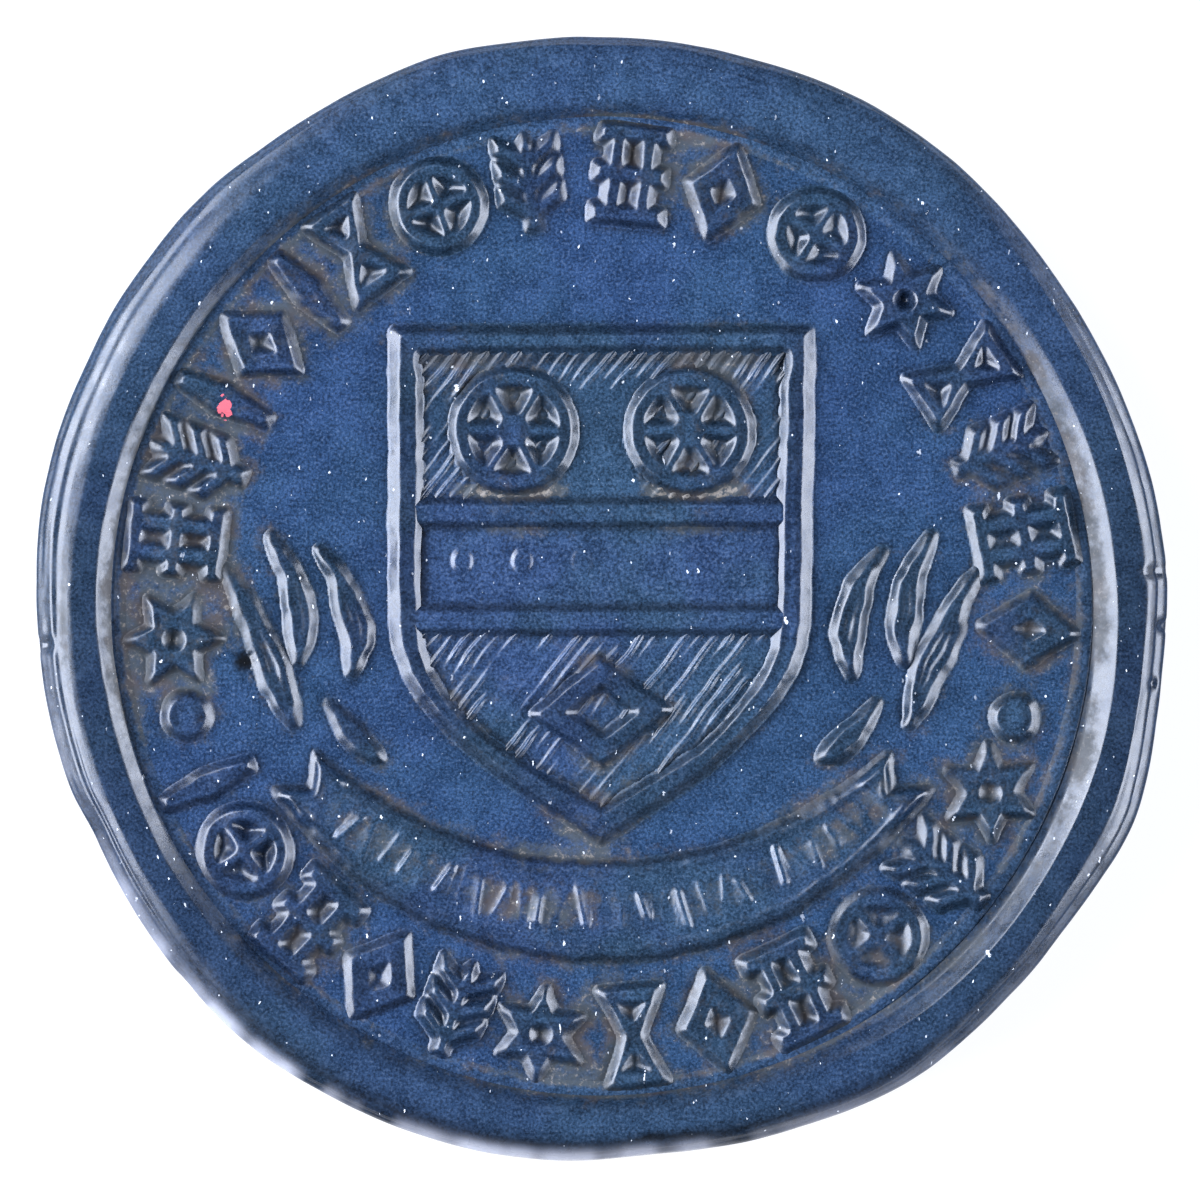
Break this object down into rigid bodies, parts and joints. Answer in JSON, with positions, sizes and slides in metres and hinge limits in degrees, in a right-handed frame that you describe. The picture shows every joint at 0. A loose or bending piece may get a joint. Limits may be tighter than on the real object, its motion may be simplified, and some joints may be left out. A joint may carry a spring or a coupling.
{
  "type": "transit token",
  "caption": "Round moulded fare token with a raised rim, a shield emblem, a scroll and a ring of raised ornaments.",
  "frame": {"origin": "centre of the disc, on the plane that the token lies on", "axes": "+Z out of the obverse, +Y towards the top of the shield, +X to the right of the obverse"},
  "size_m": [0.023, 0.023, 0.002],
  "materials": {
    "rim_plastic": "dark blue moulded plastic, satin with handling polish",
    "field_plastic": "dark blue moulded plastic, fine grained satin",
    "relief_plastic": "dark blue moulded plastic, worn satin with a teal cast"
  },
  "bodies": {
    "root": {"band_bar_lower": "relief_plastic", "band_bar_upper": "relief_plastic", "band_panel": "field_plastic", "field_web": "field_plastic", "hatch_panel_lower": "field_plastic", "hatch_panel_upper": "field_plastic", "legend_left_01_star": "relief_plastic", "legend_left_02_track": "relief_plastic", "legend_left_03_ear": "relief_plastic", "legend_left_04_spindle": "relief_plastic", "legend_left_05_lozenge": "relief_plastic", "legend_left_06_spindle": "relief_plastic", "legend_left_07_hourglass": "relief_plastic", "legend_left_08_wheel": "relief_plastic", "legend_left_09_ear": "relief_plastic", "legend_lower_01_spindle": "relief_plastic", "legend_lower_02_wheel": "relief_plastic", "legend_lower_03_track": "relief_plastic", "legend_lower_04_lozenge": "relief_plastic", "legend_lower_05_ear": "relief_plastic", "legend_lower_06_star": "relief_plastic", "legend_lower_07_hourglass": "relief_plastic", "legend_lower_08_lozenge": "relief_plastic", "legend_lower_09_track": "relief_plastic", "legend_lower_10_wheel": "relief_plastic", "legend_lower_11_ear": "relief_plastic", "legend_lower_12_star": "relief_plastic", "legend_right_01_track": "relief_plastic", "legend_right_02_lozenge": "relief_plastic", "legend_right_03_wheel": "relief_plastic", "legend_right_04_star": "relief_plastic", "legend_right_05_hourglass": "relief_plastic", "legend_right_06_ear": "relief_plastic", "legend_right_07_track": "relief_plastic", "legend_right_08_lozenge": "relief_plastic", "lozenge": "relief_plastic", "obverse_step_ring": "rim_plastic", "pellet_left": "relief_plastic", "pellet_right": "relief_plastic", "reverse_panel": "field_plastic", "reverse_ring": "field_plastic", "reverse_step_ring": "rim_plastic", "rim": "rim_plastic", "scroll": "relief_plastic", "shield_border": "relief_plastic", "spray_left_inner": "relief_plastic", "spray_left_middle": "relief_plastic", "spray_left_outer": "relief_plastic", "spray_left_stem": "relief_plastic", "spray_right_inner": "relief_plastic", "spray_right_middle": "relief_plastic", "spray_right_outer": "relief_plastic", "spray_right_stem": "relief_plastic", "wheel_left": "relief_plastic", "wheel_right": "relief_plastic"}
  },
  "joints": []
}
